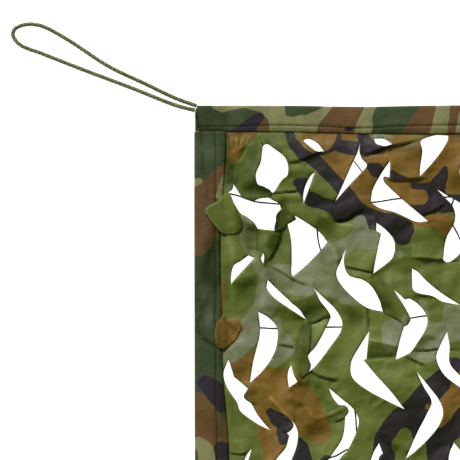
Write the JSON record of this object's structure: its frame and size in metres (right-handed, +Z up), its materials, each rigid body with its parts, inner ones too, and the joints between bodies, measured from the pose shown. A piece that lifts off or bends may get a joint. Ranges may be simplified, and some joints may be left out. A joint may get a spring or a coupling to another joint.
{
  "type": "camouflage net",
  "caption": "Square camouflage net laid flat: printed cloth die-cut with leaf-like gaps, folded strips round its edges, a cord mesh under it and a cord loop at each corner.",
  "frame": {"origin": "middle of the net's square at its underside, measured without the corner loops", "axes": "+Z up out of the net's printed face, +Y towards its top edge, +X towards its right edge"},
  "size_m": [1.4424, 1.2018, 0.0122],
  "materials": {
    "printed_cloth": "thin satin polyester with a camouflage print",
    "strip_cloth": "matt woven strip with a camouflage print",
    "mesh_cord": "matt",
    "loop_cord": "matt braid"
  },
  "bodies": {
    "root": {"garnish_cloth": "printed_cloth", "top_strip": "strip_cloth", "bottom_strip": "strip_cloth", "left_strip": "strip_cloth", "right_strip": "strip_cloth", "cord_mesh": "mesh_cord", "loop_top_left": "loop_cord", "loop_top_right": "loop_cord", "loop_bottom_left": "loop_cord", "loop_bottom_right": "loop_cord"}
  },
  "joints": []
}
